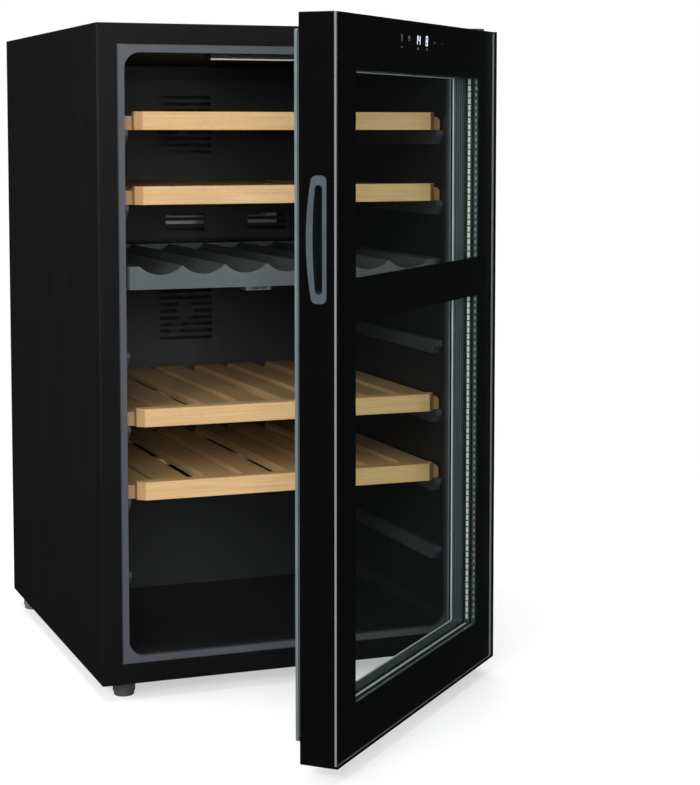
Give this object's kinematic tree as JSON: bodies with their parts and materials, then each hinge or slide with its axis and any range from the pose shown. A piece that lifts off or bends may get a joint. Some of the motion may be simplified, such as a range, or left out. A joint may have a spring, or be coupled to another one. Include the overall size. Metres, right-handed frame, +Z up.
{
  "type": "wine cooler",
  "caption": "Free-standing two-zone wine cooler: insulated cabinet, hinged triple-glazed door with recessed pull, sliding slatted wooden shelves, levelling feet and rear condenser.",
  "frame": {"origin": "centre of the cabinet's footprint, on the floor that the feet stand on", "axes": "+Z up; the front faces -Y; +X is the hinge side, on the right as seen from the front"},
  "size_m": [0.5088, 0.9493, 0.83],
  "materials": {
    "painted_black": "satin",
    "coated_steel": "satin",
    "rail_black": "satin",
    "foam": "matte",
    "liner_grey": "satin",
    "divider_grey": "satin",
    "lamp_lens": "satin",
    "circuit_board": "satin",
    "duct_plastic": "satin",
    "evaporator_aluminium": "satin",
    "black_plastic": "satin",
    "compressor_paint": "gloss",
    "rubber": "matte",
    "condenser_paint": "satin",
    "copper": "satin",
    "foot_plastic": "satin",
    "foot_zinc": "satin",
    "screw_steel": "satin",
    "door_glass": "polished",
    "glass_ink": "gloss",
    "inner_glass": "polished",
    "spacer_aluminium": "satin",
    "reveal_plastic": "satin",
    "gasket_rubber": "matte",
    "handle_bezel": "satin",
    "handle_cup": "satin",
    "beech": "satin"
  },
  "bodies": {
    "cabinet": {"side_panel_left": "painted_black", "side_panel_right": "painted_black", "top_panel": "painted_black", "back_panel": "coated_steel", "base_plate": "coated_steel", "hinge_top": "coated_steel", "hinge_bottom": "coated_steel", "condenser_clips": "coated_steel", "bottom_rail": "rail_black", "foam_insulation": "foam", "inner_liner": "liner_grey", "shelf_ledges_left": "liner_grey", "shelf_ledges_right": "liner_grey", "zone_divider": "divider_grey", "divider_sensor_case": "divider_grey", "ceiling_lamp_lens": "lamp_lens", "ceiling_lamp_board": "circuit_board", "duct_cover_upper": "duct_plastic", "duct_cover_lower": "duct_plastic", "evaporator_upper": "evaporator_aluminium", "evaporator_lower": "evaporator_aluminium", "fan_motor_upper": "black_plastic", "fan_motor_lower": "black_plastic", "compressor_relay": "black_plastic", "control_box": "black_plastic", "drain_tray": "black_plastic", "cord_gland": "black_plastic", "compressor": "compressor_paint", "compressor_mounts": "rubber", "condenser_coil": "condenser_paint", "refrigerant_pipes": "copper", "filter_dryer": "copper", "hinge_screws": "screw_steel"},
    "door": {"door_frame": "black_plastic", "hinge_bushes": "black_plastic", "glass_outer": "door_glass", "glass_print": "glass_ink", "glass_middle": "inner_glass", "glass_inner": "inner_glass", "spacer_outer": "spacer_aluminium", "spacer_inner": "spacer_aluminium", "door_reveal": "reveal_plastic", "door_gasket": "gasket_rubber", "handle_cup": "handle_cup", "handle_bezel": "handle_bezel", "display_module": "circuit_board"},
    "shelf_1": {"shelf_1_front_board": "beech", "shelf_1_deck": "beech"},
    "shelf_2": {"shelf_2_front_board": "beech", "shelf_2_deck": "beech"},
    "shelf_3": {"shelf_3_front_board": "beech", "shelf_3_deck": "beech"},
    "shelf_4": {"shelf_4_front_board": "beech", "shelf_4_deck": "beech"},
    "fan_upper": {"fan_blades_upper": "black_plastic"},
    "fan_lower": {"fan_blades_lower": "black_plastic"},
    "foot_front_left": {"foot_front_left": "foot_plastic"},
    "foot_front_right": {"foot_front_right": "foot_plastic"},
    "foot_rear_left": {"foot_rear_left": "foot_zinc"},
    "foot_rear_right": {"foot_rear_right": "foot_zinc"}
  },
  "joints": [
    {"name": "door_hinge", "type": "hinge", "parent": "cabinet", "child": "door", "pos_m": [0.2375, -0.3047, 0.4], "axis": [0, 0, 1], "range_deg": [-45, 70]},
    {"name": "shelf_1_slide", "type": "slide", "parent": "cabinet", "child": "shelf_1", "axis": [0, -1, 0], "range_m": [0, 0.035]},
    {"name": "shelf_2_slide", "type": "slide", "parent": "cabinet", "child": "shelf_2", "axis": [0, -1, 0], "range_m": [0, 0.035]},
    {"name": "shelf_3_slide", "type": "slide", "parent": "cabinet", "child": "shelf_3", "axis": [0, -1, 0], "range_m": [0, 0.035]},
    {"name": "shelf_4_slide", "type": "slide", "parent": "cabinet", "child": "shelf_4", "axis": [0, -1, 0], "range_m": [0, 0.035]},
    {"name": "fan_upper_spin", "type": "hinge", "parent": "cabinet", "child": "fan_upper", "pos_m": [0, 0.21, 0.709], "axis": [0, 1, 0], "continuous": true},
    {"name": "fan_lower_spin", "type": "hinge", "parent": "cabinet", "child": "fan_lower", "pos_m": [0, 0.21, 0.434], "axis": [0, 1, 0], "continuous": true},
    {"name": "foot_front_left_turn", "type": "hinge", "parent": "cabinet", "child": "foot_front_left", "pos_m": [-0.214, -0.247, 0.01], "axis": [0, 0, 1], "range_deg": [-180, 180]},
    {"name": "foot_front_right_turn", "type": "hinge", "parent": "cabinet", "child": "foot_front_right", "pos_m": [0.214, -0.247, 0.01], "axis": [0, 0, 1], "range_deg": [-180, 180]},
    {"name": "foot_rear_left_turn", "type": "hinge", "parent": "cabinet", "child": "foot_rear_left", "pos_m": [-0.2285, 0.227, 0.01], "axis": [0, 0, 1], "range_deg": [-180, 180]},
    {"name": "foot_rear_right_turn", "type": "hinge", "parent": "cabinet", "child": "foot_rear_right", "pos_m": [0.2285, 0.227, 0.01], "axis": [0, 0, 1], "range_deg": [-180, 180]}
  ]
}
